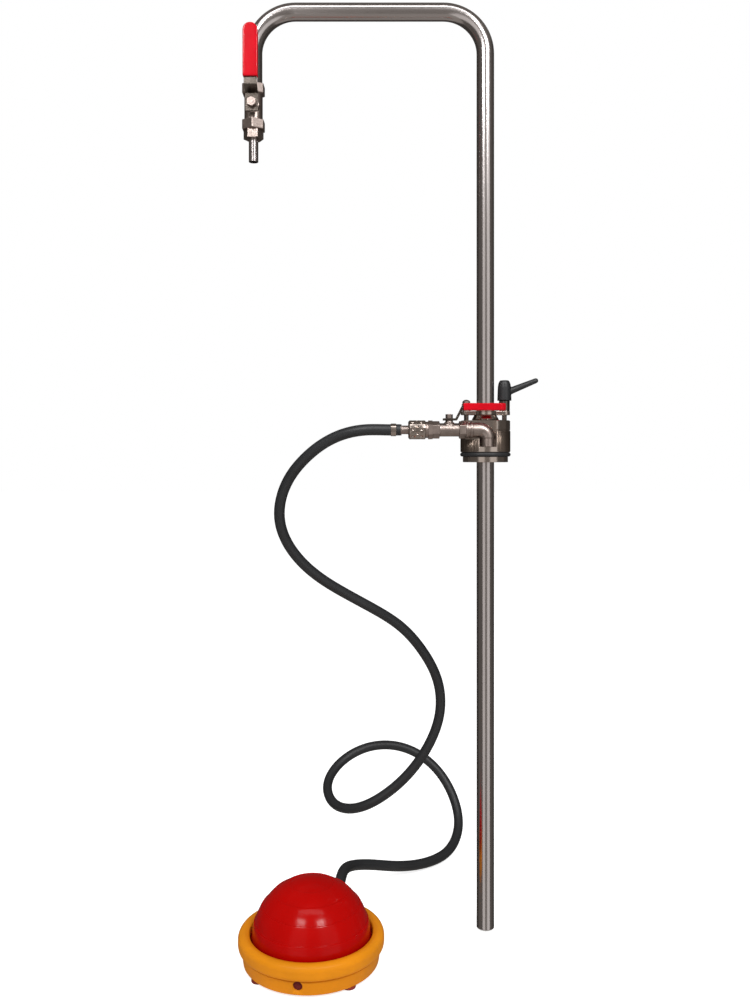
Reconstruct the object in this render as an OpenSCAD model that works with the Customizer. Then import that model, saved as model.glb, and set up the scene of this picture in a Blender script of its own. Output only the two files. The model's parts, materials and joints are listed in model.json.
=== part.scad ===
// Foot-operated drum pump: a bent riser tube through an adjustable bung plug, an air branch with
// its own ball valve, a free air hose and a dome-shaped foot pump on the floor beside it.
// The origin is the centre of the bung seat on the riser's axis, +Z is up, and -Y faces the viewer.

/* [Riser tube] */
// Outer diameter of the riser tube
tube_d = 22; // [20:0.5:24]
// Wall thickness of the riser tube
tube_wall = 1.5; // [1:0.1:2.5]
// Length of the riser below the bung seat
immersion = 592; // [450:1:900]
// Height of the spout arm's axis above the bung seat
arm_rise = 560; // [480:1:800]
// Distance from the riser's axis to the spout's axis
arm_reach = 292; // [240:1:400]
// Centreline radius of the two tube bends
bend_r = 53; // [40:1:80]
// Straight length that shows between the second bend and the outlet valve
leg_drop = 39.5; // [25:0.5:90]

/* [Outlet valve] */
// Length of the outlet valve's body
outlet_len = 57; // [50:1:70]
// Width across flats of the outlet valve's end hexagons
outlet_hex = 27; // [26:0.5:34]
// Length of each end hexagon
outlet_hex_len = 12; // [8:0.5:14]
// Diameter of the outlet valve's waist
outlet_waist_d = 23; // [21:0.5:26]
// Diameter of the outlet valve's ball
outlet_ball_d = 16; // [14:0.5:17]
// Bore through the outlet valve's ball
outlet_bore_d = 10; // [7:0.5:11]
// Width across flats of the spout adaptor
adaptor_hex = 22; // [19:0.5:26]
// Length of the adaptor's hexagon
adaptor_len = 11; // [8:0.5:16]
// Outer diameter of the spout
spout_d = 12; // [10:0.5:14]
// Wall thickness of the spout
spout_wall = 1; // [0.8:0.1:2]
// Length of spout that stands out of the adaptor
spout_len = 28.5; // [20:0.5:50]

/* [Valve levers] */
// Thickness of the lever plates
plate_t = 2.5; // [2:0.1:3]
// Width of the outlet lever's plate
outlet_plate_w = 16; // [12:0.5:17]
// Distance from the outlet valve's stem to the tip of its grip
outlet_lever_len = 93; // [80:1:120]
// Distance by which the outlet lever steps outwards
outlet_lever_step = 13; // [8:0.5:18]
// Length of the outlet lever's grip
outlet_grip_len = 66; // [50:1:72]
// Width of the outlet lever's grip
outlet_grip_w = 18.5; // [16:0.5:22]
// Width of the air lever's plate
air_plate_w = 11; // [9:0.5:13]
// Distance from the air valve's stem to the tip of its grip
air_lever_len = 70; // [60:1:76]
// Distance by which the air lever steps upwards
air_lever_step = 15.5; // [14:0.5:18]
// Length of the air lever's grip
air_grip_len = 53; // [40:1:54]
// Width of the air lever's grip
air_grip_w = 14.5; // [12:0.5:15]
// Thickness of both grips
grip_t = 9; // [6:0.5:9.5]

/* [Bung plug] */
// Diameter of the plug body
plug_d = 62; // [60:0.5:70]
// Height of the plug body
plug_h = 40; // [38:0.5:48]
// Height of the plain band above the knurl
band_h = 12.3; // [8:0.1:16]
// Diameter of the spigot that enters the drum's bung
spigot_d = 56.5; // [54:0.1:57]
// Height of the spigot
spigot_h = 7; // [5:0.5:12]
// Section diameter of the bung seal
seal_section = 5.2; // [4:0.1:6]
// Diameter of the seal ring's centreline
seal_ring_d = 58; // [56.8:0.1:59]
// Outer diameter of the bush round the riser
bush_d = 26.4; // [25.6:0.1:27]
// Length of the bush
bush_len = 15.9; // [12:0.1:17]
// Height of the gland packing
packing_h = 7.7; // [6:0.1:9]

/* [Clamp] */
// Distance from the riser's axis to each draw rod
rod_x = 24; // [23:0.5:25]
// Diameter of the draw rods
rod_d = 6; // [5:0.5:6]
// Thickness of the yoke plate
yoke_t = 5; // [4:0.5:7]
// Width of the yoke plate's arms
yoke_w = 14; // [12:0.5:16]
// Pitch of the draw rod's thread
thread_pitch = 1; // [0.8:0.05:1.25]
// Diameter of the clamp handle's hub at its foot
hub_d = 17.8; // [15:0.1:19]
// Height of the clamp handle's hub
hub_h = 25.5; // [23:0.5:30]
// Horizontal reach of the clamp handle's arm
handle_reach = 42.5; // [38:0.5:46]
// Angle by which the arm climbs
handle_tilt = 22; // [15:1:30]
// Travel of the handle when it is lifted off its serration
handle_lift = 4; // [3:0.5:5]

/* [Air branch] */
// Distance of the branch in front of the riser's axis
branch_y = 25; // [25:0.5:27]
// Height of the branch above the bung seat
branch_z = 33; // [32.5:0.5:35]
// Outer diameter of the air elbow
elbow_d = 18.5; // [16:0.5:18.5]
// Centreline radius of the air elbow
elbow_r = 10; // [9.6:0.1:10.5]
// Bore of the air branch
air_bore_d = 8; // [6:0.5:8]
// Length of the air valve's body
air_len = 41; // [38:1:48]
// Width across flats of the air valve's end hexagons
air_hex = 19; // [18:0.5:20]
// Length of each end hexagon of the air valve
air_hex_len = 8.5; // [7:0.5:10]
// Diameter of the air valve's waist
air_waist_d = 16.5; // [15.5:0.5:18]
// Diameter of the air valve's ball
air_ball_d = 12; // [11:0.5:12.5]
// Diameter of the quick coupler's sleeve
coupler_d = 23.4; // [22:0.1:26]
// Length of the quick coupler
coupler_len = 29.9; // [28:0.1:36]
// Travel of the coupler's sleeve
sleeve_travel = 3; // [2:0.5:4]

/* [Hose] */
// Outer diameter of the air hose
hose_d = 14; // [11:0.5:14]

/* [Foot pump] */
// Greatest diameter of the pump base
pump_d = 172; // [160:1:180]
// Diameter of the red dome at its foot
dome_d = 140; // [130:1:146]
// Height of the dome above its foot
dome_h = 67; // [60:0.5:70]
// Wall thickness of the dome
dome_wall = 3; // [2:0.5:4]
// Height of the base's rim above the floor
rim_h = 38; // [36:0.5:44]
// Height of the deck's upper face above the floor
deck_z = 27; // [26:0.5:28]
// Height of the rubber feet
foot_h = 3; // [2:0.5:4]
// Diameter of the rubber feet
foot_d = 16; // [12:0.5:18]
// Diameter of the air inlet in the skirt
inlet_d = 11; // [8:0.5:12]
// Travel of the dome when it is trodden down
press_travel = 34; // [20:1:36]
// Wire diameter of the return spring
wire_d = 2.6; // [2:0.1:2.8]

/* [Hidden] */

$fn = 64;
// Clearance between pieces that are fitted together, and a running fit
fit = 0.05;
// Clearance between pieces that move past each other freely
gap = 0.3;
// How far a cut runs past the face that it opens
over = 1;

steel = "#a8a29e";
dark_steel = "#6e6966";
red_vinyl = "#d2202c";
black_plastic = "#26282a";
black_rubber = "#1d1f21";
white_ptfe = "#e9e7e0";
amber_plastic = "#e89018";
red_plastic = "#c4141a";

tube_r = tube_d / 2;
plug_r = plug_d / 2;
plug_z0 = seal_section + fit;
plug_z1 = plug_z0 + plug_h;
outlet_top = arm_rise - bend_r - leg_drop;
outlet_z = outlet_top - outlet_len / 2;
// Depth of the socket that takes the tube's end
socket_depth = 9;

// Centre of the air valve, from the elbow outwards
elbow_run = 8.6;
union_len = 8.4;
union_d = 20.8;
air_valve_x = -elbow_r - elbow_run - union_len - air_len / 2;
branch_pos = [0, -branch_y, branch_z];
coupler_x1 = air_valve_x - air_len / 2;
coupler_x0 = coupler_x1 - coupler_len;

// Heights in the plug, from the seat upwards
annulus_r = 14;
annulus_top = 10;
shoulder_z = 12;
bush_z = shoulder_z + gap / 3;
packing_z = bush_z + bush_len + gap;
packing_top = packing_z + packing_h;
bush_r = bush_d / 2;
// Play of the yoke each way, a third of a turn of the thread
draw_play = thread_pitch / 3;
draw_gap = draw_play + gap / 3;
collar_z = plug_z1 + draw_gap + gap / 2;
collar_h = 6.4;
yoke_z = collar_z + collar_h;
yoke_top = yoke_z + yoke_t;
rod_r = rod_d / 2;
rod_seat = 15;
slot_w = 21;
slot_floor = 12;
pocket_y = branch_y - elbow_d / 2 - gap - fit;

module hexagon(flats, length) {
    cylinder(d = flats / cos(30), h = length, $fn = 6);
}

module ring(outer_r, inner_r, height) {
    difference() {
        cylinder(r = outer_r, h = height);
        translate([0, 0, -over]) cylinder(r = inner_r, h = height + 2 * over);
    }
}

// Lays a piece built along +Z along +X
module along_x() {
    rotate([0, 90, 0]) children();
}

// The outlet valve's frame: its flow axis is vertical and its stem faces the viewer
module at_outlet() {
    translate([-arm_reach, 0, outlet_z]) rotate([90, 0, 0]) rotate([0, 0, 90]) children();
}

// The air valve's frame: its flow axis is level and its stem points up
module at_air() {
    translate(branch_pos + [air_valve_x, 0, 0]) children();
}

// The riser's centreline as a solid rod of diameter d, with both ends lengthened by extra
module gooseneck(d, extra) {
    bend_z = arm_rise - bend_r;
    translate([0, 0, -immersion - extra]) cylinder(d = d, h = immersion + bend_z + extra);
    translate([-bend_r, 0, bend_z]) rotate([90, 0, 0])
        rotate_extrude(angle = 90) translate([bend_r, 0]) circle(d = d);
    translate([bend_r - arm_reach, 0, arm_rise]) along_x()
        cylinder(d = d, h = arm_reach - 2 * bend_r);
    translate([bend_r - arm_reach, 0, bend_z]) rotate([90, 0, 0]) rotate([0, 0, 90])
        rotate_extrude(angle = 90) translate([bend_r, 0]) circle(d = d);
    translate([-arm_reach, 0, outlet_top - socket_depth - extra])
        cylinder(d = d, h = leg_drop + socket_depth + extra);
}

module riser_tube() {
    color(steel) difference() {
        gooseneck(tube_d, 0);
        gooseneck(tube_d - 2 * tube_wall, over);
    }
}

outlet_stem_d = 6;
outlet_boss_d = 13;
outlet_boss_top = 17.5;
air_stem_d = 4.6;
air_boss_d = 9.5;
air_boss_top = 11.6;
// Sizes of a valve: length, hexagon, hexagon length, waist, ball, bore, stem, boss diameter, boss top
outlet_valve = [outlet_len, outlet_hex, outlet_hex_len, outlet_waist_d, outlet_ball_d,
    outlet_bore_d, outlet_stem_d, outlet_boss_d, outlet_boss_top];
air_valve = [air_len, air_hex, air_hex_len, air_waist_d, air_ball_d, air_bore_d,
    air_stem_d, air_boss_d, air_boss_top];
// Length of each seat ring that shows past the ball
seat_t = 2;
nut_h = 5;
tang_h = 1.6;

module valve_shell(v) {
    chamber_r = v[4] / 2 + gap;
    half = v[0] / 2;
    difference() {
        union() {
            translate([-half, 0, 0]) along_x() hexagon(v[1], v[2]);
            translate([half - v[2], 0, 0]) along_x() hexagon(v[1], v[2]);
            translate([v[2] - half - over, 0, 0]) along_x()
                cylinder(d = v[3], h = v[0] - 2 * v[2] + 2 * over);
            cylinder(d = v[7], h = v[8]);
            cylinder(d = v[7] * boss_foot_share, h = v[3] / 2 + over);
        }
        translate([-half - over, 0, 0]) along_x() cylinder(d = v[5], h = v[0] + 2 * over);
        translate([-chamber_r - seat_t, 0, 0]) along_x()
            cylinder(r = chamber_r, h = 2 * (chamber_r + seat_t));
        cylinder(d = v[6] + 2 * fit, h = v[8] + over);
    }
}
// Width of the boss's foot against its top
boss_foot_share = 1.3;

module valve_seats(v) {
    chamber_r = v[4] / 2 + gap;
    for (side = [0, 180]) rotate([0, 0, side]) along_x()
        difference() {
            translate([0, 0, v[4] / 2 - seat_t])
                ring(chamber_r - fit, v[5] / 2, chamber_r + 2 * seat_t - v[4] / 2 - fit);
            sphere(r = v[4] / 2 + 2 * fit);
        }
}

module valve_ball(v) {
    difference() {
        sphere(d = v[4]);
        translate([-v[4], 0, 0]) along_x() cylinder(d = v[5], h = 2 * v[4]);
        translate([-v[4] / 2, -v[6] * tang_share / 2 - fit, v[4] / 2 - tang_h - fit])
            cube([v[4], v[6] * tang_share + 2 * fit, v[4]]);
    }
}
// Width of the stem's tang against the stem
tang_share = 0.5;

module valve_stem(v) {
    top = v[8] + fit + plate_t + nut_h + gap;
    low = v[4] / 2 + gap;
    translate([0, 0, low]) cylinder(d = v[6], h = top - low);
    intersection() {
        translate([0, 0, v[4] / 2 - tang_h]) cylinder(d = v[6], h = tang_h + 2 * gap);
        translate([-v[6] / 2, -v[6] * tang_share / 2, 0]) cube([v[6], v[6] * tang_share, v[4]]);
    }
}

// A cranked lever plate that lies along +X and steps up in Z
module lever_plate(v, width, length, step) {
    z0 = v[8] + fit;
    tail = v[7] * tail_share;
    k0 = v[7];
    k1 = k0 + step * crank_share;
    skew = plate_t * crank_skew_share;
    end = length - plate_t;
    difference() {
        rotate([90, 0, 0]) translate([0, 0, -width / 2]) linear_extrude(width)
            polygon([[-tail, z0], [k0, z0], [k1, z0 + step], [end, z0 + step],
                [end, z0 + step + plate_t], [k1 - skew, z0 + step + plate_t],
                [k0 - skew, z0 + plate_t], [-tail, z0 + plate_t]]);
        translate([0, 0, z0 - over]) cylinder(d = v[6] + 2 * fit, h = plate_t + 2 * over);
    }
}
// Length of the lever's tail against the boss, and the slope of its crank
tail_share = 0.8;
crank_share = 0.5;
crank_skew_share = 0.6;

module lever_grip(v, plate_w, width, length, grip_len, step) {
    z_mid = v[8] + fit + step + plate_t / 2;
    difference() {
        translate([0, 0, z_mid - grip_t / 2]) linear_extrude(grip_t) union() {
            translate([length - width / 2, 0]) circle(d = width);
            translate([length - grip_len, -width / 2]) square([grip_len - width / 2, width]);
        }
        translate([length - grip_len - over, -plate_w / 2 - fit, z_mid - plate_t / 2 - fit])
            cube([grip_len + over - plate_t + fit, plate_w + 2 * fit, plate_t + 2 * fit]);
    }
}

module lever_nut(v) {
    translate([0, 0, v[8] + 2 * fit + plate_t]) difference() {
        hexagon(v[6] * nut_share, nut_h);
        translate([0, 0, -over]) cylinder(d = v[6] + 2 * fit, h = nut_h + 2 * over);
    }
}
// Width of a nut against its thread
nut_share = 1.75;

module outlet_valve_body() {
    color(steel) difference() {
        at_outlet() valve_shell(outlet_valve);
        translate([-arm_reach, 0, outlet_top - socket_depth - fit])
            cylinder(d = tube_d + 2 * fit, h = socket_depth + over);
        translate([-arm_reach, 0, outlet_z - outlet_len / 2 - over])
            cylinder(d = spout_thread_d + 2 * fit, h = spout_thread_len + over + fit);
    }
}
// Threaded end of the spout adaptor
spout_thread_d = 16;
spout_thread_len = 8;

module outlet_valve_seats() {
    color(white_ptfe) at_outlet() valve_seats(outlet_valve);
}

module outlet_ball() {
    color(steel) at_outlet() valve_ball(outlet_valve);
}

module outlet_stem() {
    color(steel) at_outlet() valve_stem(outlet_valve);
}

module outlet_lever() {
    color(dark_steel) at_outlet()
        lever_plate(outlet_valve, outlet_plate_w, outlet_lever_len, outlet_lever_step);
}

module outlet_grip() {
    color(red_vinyl) at_outlet() lever_grip(outlet_valve, outlet_plate_w, outlet_grip_w,
        outlet_lever_len, outlet_grip_len, outlet_lever_step);
}

module outlet_lever_nut() {
    color(steel) at_outlet() lever_nut(outlet_valve);
}

module spout_adaptor() {
    low = outlet_z - outlet_len / 2 - adaptor_len;
    color(steel) translate([-arm_reach, 0, low]) difference() {
        union() {
            hexagon(adaptor_hex, adaptor_len);
            cylinder(d = spout_thread_d, h = adaptor_len + spout_thread_len);
        }
        translate([0, 0, -over])
            cylinder(r = spout_end_r + fit, h = adaptor_len + over + fit);
        cylinder(d = spout_d - 2 * spout_wall, h = adaptor_len + spout_thread_len + over);
    }
}
// The spout's end inside the adaptor is turned down to this share of its wall
spout_end_share = 0.6;
spout_end_r = spout_d / 2 - spout_wall * (1 - spout_end_share);

module spout() {
    low = outlet_z - outlet_len / 2 - adaptor_len - spout_len;
    color(steel) translate([-arm_reach, 0, low]) {
        ring(spout_d / 2, spout_d / 2 - spout_wall, spout_len);
        translate([0, 0, spout_len - over])
            ring(spout_end_r, spout_d / 2 - spout_wall, adaptor_len + over);
    }
}

edge = 0.8;
knurl_groove = 0.6;

module plug_body() {
    z_band = plug_z1 - band_h;
    color(steel) difference() {
        rotate_extrude() polygon([[0, plug_z0], [plug_r - edge, plug_z0],
            [plug_r, plug_z0 + edge], [plug_r, z_band - knurl_groove],
            [plug_r - knurl_groove, z_band], [plug_r, z_band + knurl_groove],
            [plug_r, plug_z1 - edge], [plug_r - edge, plug_z1], [0, plug_z1]]);
        translate([0, 0, shoulder_z]) cylinder(r = bush_r + fit, h = plug_h);
        translate([0, 0, plug_z0 - over]) cylinder(r = tube_r + gap, h = plug_h);
        translate([0, 0, plug_z0 - over]) cylinder(r = annulus_r, h = annulus_top + over - plug_z0);
        translate([-plug_d, -plug_d, branch_z - union_d / 2 - 2 * gap])
            cube([plug_d + slot_w / 2, plug_d - pocket_y, plug_h]);
        translate([-slot_w / 2, -plug_d, slot_floor]) cube([slot_w, plug_d - pocket_y, plug_h]);
        translate(branch_pos - [plug_d, 0, 0]) along_x()
            cylinder(d = union_d + 2 * gap, h = plug_d - elbow_r - elbow_run + gap);
        translate([0, -branch_y, plug_z0 + over])
            cylinder(d = leg_thread_d + 2 * fit, h = slot_floor);
        translate([0, -branch_y, plug_z0 + over + gallery_d / 2 + gap / 2]) rotate([-90, 0, 0])
            cylinder(d = gallery_d, h = branch_y - annulus_r + over);
        for (side = [-1, 1]) translate([side * rod_x, 0, rod_seat])
            cylinder(r = rod_r + fit, h = plug_h);
        spigot_screw_places()
            translate([0, 0, -spigot_h]) cylinder(d = screw_d + 2 * fit, h = screw_len + fit);
    }
}
// Thread of the elbow's leg, and the passage that leads its air to the annulus
leg_thread_d = 10.2;
gallery_d = 2.8;
screw_d = 4;
screw_len = 19;
screw_head_d = 7;
screw_head_h = 2.5;
screw_pitch_r = 20;

module spigot_screw_places() {
    for (a = [90, 210, 330]) rotate([0, 0, a]) translate([screw_pitch_r, 0, 0]) children();
}

module spigot_disc() {
    neck_r = seal_ring_d / 2 - seal_section / 2 - 4 * fit;
    color(steel) difference() {
        union() {
            translate([0, 0, -spigot_h]) cylinder(d = spigot_d, h = spigot_h);
            cylinder(r = neck_r, h = plug_z0);
        }
        translate([0, 0, -spigot_h - over]) cylinder(r = annulus_r, h = plug_d);
        spigot_screw_places() translate([0, 0, -spigot_h - over]) {
            cylinder(d = screw_d + 2 * fit, h = plug_d);
            cylinder(d = screw_head_d + 2 * fit, h = screw_head_h + fit + over);
        }
    }
}

module spigot_screws() {
    color(dark_steel) spigot_screw_places() translate([0, 0, -spigot_h]) {
        cylinder(d = screw_d, h = screw_len);
        cylinder(d = screw_head_d, h = screw_head_h);
    }
}

module bung_seal() {
    color(black_rubber) translate([0, 0, seal_section / 2])
        rotate_extrude() translate([seal_ring_d / 2, 0]) circle(d = seal_section, $fn = 32);
}

module gland_bush() {
    color(white_ptfe) translate([0, 0, bush_z]) ring(bush_r, tube_r + fit, bush_len);
}

module gland_packing() {
    color(black_rubber) translate([0, 0, packing_z])
        ring(bush_r, tube_r + 2 * fit, packing_h);
}

module gland_collar() {
    nose_z = packing_top + draw_gap;
    collar_r = 17;
    neck_r = 14.2;
    bore_r = tube_r + gap;
    nose_r = bush_r - gap;
    color(steel) rotate_extrude() polygon([[bore_r, nose_z], [nose_r, nose_z],
        [nose_r, collar_z], [collar_r - edge, collar_z], [collar_r, collar_z + edge],
        [neck_r, yoke_z - edge], [neck_r, yoke_z], [bore_r, yoke_z]]);
}

module yoke_plate() {
    centre_r = 14.6;
    color(steel) translate([0, 0, yoke_z]) difference() {
        union() {
            cylinder(r = centre_r, h = yoke_t);
            translate([-rod_x, -yoke_w / 2, 0]) cube([2 * rod_x, yoke_w, yoke_t]);
            for (side = [-1, 1]) translate([side * rod_x, 0, 0]) cylinder(d = yoke_w, h = yoke_t);
        }
        translate([0, 0, -over]) cylinder(r = tube_r + gap, h = yoke_t + 2 * over);
        for (side = [-1, 1]) translate([side * rod_x, 0, -over])
            cylinder(r = rod_r + gap, h = yoke_t + 2 * over);
    }
}

// Sizes of the left stop nut and of the insert under the clamp handle
stop_nut_w = 10;
stop_nut_h = 14;
stop_hex_h = 8.5;
stop_dome_r = 6;
insert_r = 6.8;
insert_h = 12.6;
serration_r = 5;
serration_h = 9.8;
rod_in_insert = 18.4;
cap_d = 4;
hub_z = yoke_top + gap + insert_h + gap;
shelf_z = hub_z + serration_h + gap / 3;
shelf_t = 2.6;
cap_head_d = 7;
cap_head_h = 2.8;
clamp_spring_h = 6.6;
hub_bore_d = 8;

module draw_rods() {
    color(dark_steel) {
        translate([-rod_x, 0, rod_seat])
            cylinder(r = rod_r, h = yoke_top + stop_nut_h - 2 * stop_wall - rod_seat);
        translate([rod_x, 0, rod_seat])
            cylinder(r = rod_r, h = yoke_top + rod_in_insert - rod_seat);
    }
}
stop_wall = 1.4;

module stop_nut() {
    cap_r = stop_nut_w / 2 - fit;
    color(steel) translate([-rod_x, 0, yoke_top + draw_gap]) difference() {
        union() {
            hexagon(stop_nut_w, stop_hex_h);
            intersection() {
                cylinder(r = cap_r, h = 2 * stop_nut_h);
                translate([0, 0, stop_nut_h - stop_dome_r]) sphere(r = stop_dome_r);
            }
            cylinder(r = cap_r, h = stop_hex_h + over);
        }
        translate([0, 0, -over]) cylinder(r = rod_r + fit, h = stop_nut_h - 2 * stop_wall + over);
    }
}

module clamp_insert() {
    low = yoke_top + gap;
    top = low + insert_h + serration_h;
    color(dark_steel) translate([rod_x, 0, 0]) difference() {
        union() {
            translate([0, 0, low]) cylinder(r = insert_r, h = insert_h);
            translate([0, 0, low]) cylinder(r = serration_r, h = insert_h + serration_h);
        }
        translate([0, 0, low - over])
            cylinder(r = rod_r + fit, h = rod_in_insert + over + gap);
        translate([0, 0, low]) cylinder(d = cap_d + 2 * fit, h = top);
    }
}

module clamp_handle() {
    hub_r = hub_d / 2;
    top = hub_z + hub_h;
    color(black_plastic) translate([rod_x, 0, 0]) difference() {
        union() {
            rotate_extrude() polygon([[0, hub_z], [hub_r, hub_z],
                [hub_r * 0.93, hub_z + hub_h * 0.66], [hub_r * 0.86, hub_z + hub_h * 0.82],
                [hub_r * 0.74, hub_z + hub_h * 0.93], [hub_r * 0.58, top], [0, top]]);
            translate([0, 0, hub_z + hub_h * arm_height_share])
                rotate([0, 90 - handle_tilt, 0]) arm_bar();
        }
        translate([0, 0, hub_z - over]) cylinder(r = serration_r + gap, h = shelf_z - hub_z + over);
        translate([0, 0, hub_z]) cylinder(d = cap_d + 2 * gap, h = hub_h);
        translate([0, 0, shelf_z + shelf_t]) cylinder(d = hub_bore_d, h = hub_h);
    }
}
// Height on the hub at which the arm's axis starts
arm_height_share = 0.36;
arm_root_d = 9.4;
arm_tip_d = 6.4;

module arm_bar() {
    length = handle_reach / cos(handle_tilt) - arm_tip_d / 2;
    cylinder(d1 = arm_root_d, d2 = arm_tip_d, h = length);
    translate([0, 0, length]) sphere(d = arm_tip_d - 2 * fit, $fn = 48);
}

module clamp_spring() {
    color(steel) translate([rod_x, 0, shelf_z + shelf_t + fit])
        ring(cap_head_d / 2, cap_d / 2 + gap, clamp_spring_h - 2 * fit);
}

module clamp_screw() {
    low = yoke_top + gap + rod_in_insert + 2 * gap;
    head = shelf_z + shelf_t + clamp_spring_h;
    color(steel) translate([rod_x, 0, 0]) {
        translate([0, 0, low]) cylinder(d = cap_d, h = head - low + cap_head_h);
        translate([0, 0, head]) cylinder(d = cap_head_d, h = cap_head_h);
    }
}

// Length of the elbow's threaded end, and the diameter of its leg
leg_thread_len = 2.5;
leg_d = 17;

module elbow_bar(d, leg, extra) {
    translate([-elbow_r - elbow_run - extra, 0, 0]) along_x() cylinder(d = d, h = elbow_run + extra);
    translate([-elbow_r, 0, -elbow_r]) rotate([90, 0, 0])
        rotate_extrude(angle = 90) translate([elbow_r, 0]) circle(d = d);
    translate([0, 0, slot_floor - leg_thread_len - branch_z - extra])
        cylinder(d = leg, h = branch_z - elbow_r - slot_floor + leg_thread_len + extra);
}

module air_elbow() {
    color(steel) translate(branch_pos) difference() {
        union() {
            elbow_bar(elbow_d, leg_thread_d, 0);
            translate([0, 0, slot_floor - branch_z + fit])
                cylinder(d = leg_d, h = branch_z - elbow_r - slot_floor - fit);
        }
        elbow_bar(air_bore_d, air_bore_d, over);
    }
}

module air_union() {
    groove = 1.2;
    r = union_d / 2;
    color(steel) translate(branch_pos - [elbow_r + elbow_run + union_len, 0, 0]) along_x()
        rotate_extrude() polygon([[air_bore_d / 2, 0], [r, 0], [r, union_len / 2 - groove],
            [r - groove, union_len / 2 - groove], [r - groove, union_len / 2 + groove],
            [r, union_len / 2 + groove], [r, union_len], [air_bore_d / 2, union_len]]);
}

module air_valve_body() {
    color(steel) difference() {
        at_air() valve_shell(air_valve);
        translate([coupler_x1 - over, -branch_y, branch_z]) along_x()
            cylinder(d = coupler_thread_d + 2 * fit, h = coupler_thread_len + over + fit);
    }
}

module air_valve_seats() {
    color(white_ptfe) at_air() valve_seats(air_valve);
}

module air_ball() {
    color(steel) at_air() valve_ball(air_valve);
}

module air_stem() {
    color(steel) at_air() valve_stem(air_valve);
}

module air_lever() {
    color(dark_steel) at_air() lever_plate(air_valve, air_plate_w, air_lever_len, air_lever_step);
}

module air_grip() {
    color(red_vinyl) at_air() lever_grip(air_valve, air_plate_w, air_grip_w,
        air_lever_len, air_grip_len, air_lever_step);
}

module air_lever_nut() {
    color(steel) at_air() lever_nut(air_valve);
}

// The quick coupler: a core, a sleeve that slides on it, and the tail of the hose in its mouth
coupler_thread_d = 12;
coupler_thread_len = 4;
coupler_r = coupler_d / 2;
rear_len = 5.5;
core_rear_r = coupler_r - 1.6;
core_front_r = coupler_r - 3.8;
core_rear_len = sleeve_travel + 3.2;
sleeve_len = coupler_len - rear_len - sleeve_travel - gap;
spring_room = 4;
tail_d = 10.7;
tail_in_coupler = 15;
tail_bore_d = 5;

module coupler_body() {
    color(steel) translate([coupler_x0, -branch_y, branch_z]) along_x() difference() {
        union() {
            translate([0, 0, coupler_len - rear_len]) hexagon(coupler_d * cos(30), rear_len);
            translate([0, 0, coupler_len - rear_len - core_rear_len])
                cylinder(r = core_rear_r, h = core_rear_len + over);
            translate([0, 0, edge]) cylinder(r = core_front_r, h = coupler_len - rear_len - edge);
            translate([0, 0, coupler_len - over])
                cylinder(d = coupler_thread_d, h = coupler_thread_len + over);
        }
        translate([0, 0, -over]) cylinder(d = tail_d + 2 * fit, h = tail_in_coupler + over + fit);
        cylinder(d = tail_bore_d, h = coupler_len + coupler_thread_len + over);
    }
}

module coupler_sleeve() {
    step = coupler_len - rear_len - core_rear_len - spring_room;
    color(steel) translate([coupler_x0, -branch_y, branch_z]) along_x() difference() {
        rotate_extrude() polygon([[0, 0], [coupler_r - 2 * edge, 0], [coupler_r, 2 * edge],
            [coupler_r, sleeve_len - edge], [coupler_r - edge, sleeve_len], [0, sleeve_len]]);
        translate([0, 0, -over]) cylinder(r = core_front_r + gap, h = sleeve_len + 2 * over);
        translate([0, 0, step]) cylinder(r = core_rear_r + gap, h = sleeve_len);
    }
}

// The wave spring lies against the core's shoulder and fills what the travel leaves
module coupler_spring() {
    shoulder = coupler_len - rear_len - core_rear_len;
    height = spring_room - sleeve_travel - 2 * fit;
    color(dark_steel) translate([coupler_x0 + shoulder - height, -branch_y, branch_z]) along_x()
        ring(core_rear_r, core_front_r + gap, height);
}

// Length of the tail that shows between the coupler and the hose
tail_show = 9.6;
clamp_from_end = 5.5;
clamp_len = 6.5;
clamp_wall = 0.8;

module hose_tail() {
    collar = 1.2;
    color(steel) translate([coupler_x0 - tail_show, -branch_y, branch_z]) along_x() difference() {
        union() {
            cylinder(d = tail_d, h = tail_show + tail_in_coupler);
            cylinder(d = hose_d - gap, h = collar);
        }
        translate([0, 0, -over])
            cylinder(d = tail_bore_d, h = tail_show + tail_in_coupler + 2 * over);
    }
}

module hose_clamp() {
    color("#8f8f8f")
        translate([coupler_x0 - tail_show - clamp_from_end - clamp_len, -branch_y, branch_z])
        along_x() ring(hose_d / 2 + fit + clamp_wall, hose_d / 2 + fit, clamp_len);
}

// Floor level and the foot pump's place on it
floor_z = -594;
pump_pos = [-214, -76, floor_z];
// Gap round the dome's foot, and the least width of the rim round it
dome_seat_gap = 1.8;
rim_least = 12;
dome_seat_r = dome_d / 2 + dome_seat_gap;
pump_r = max(pump_d / 2, dome_seat_r + rim_least);

// The hose's centreline: out of the coupler to the left, down in a wide bow, round one loose
// loop, along the floor behind the pump and up to the port at its rear
hose_route = [[-124, -25, 33], [-150, -25, 33], [-191, -13, 23], [-228, 2, -3], [-253, 19, -36],
    [-263, 37, -80], [-252, 55, -118], [-223, 73, -154], [-184, 92, -183], [-142, 110, -209],
    [-102, 127, -238], [-72, 141, -274], [-50, 151, -319], [-47, 158, -368], [-63, 162, -414],
    [-91, 165, -455], [-125, 168, -486], [-161, 176, -507], [-197, 205, -514], [-211, 246, -499],
    [-194, 281, -478], [-162, 298, -462], [-119, 307, -457], [-78, 309, -468], [-41, 303, -495],
    [-19, 287, -527], [-11, 260, -560], [-22, 225, -580], [-47, 189, -586], [-82, 161, -584],
    [-114, 139, -576], [-145, 118, -565], [-168, 95, -556], [-182, 57, -550]];
// Points taken on the curve between two points of the route
route_steps = 2;
hose_sides = 10;

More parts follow.
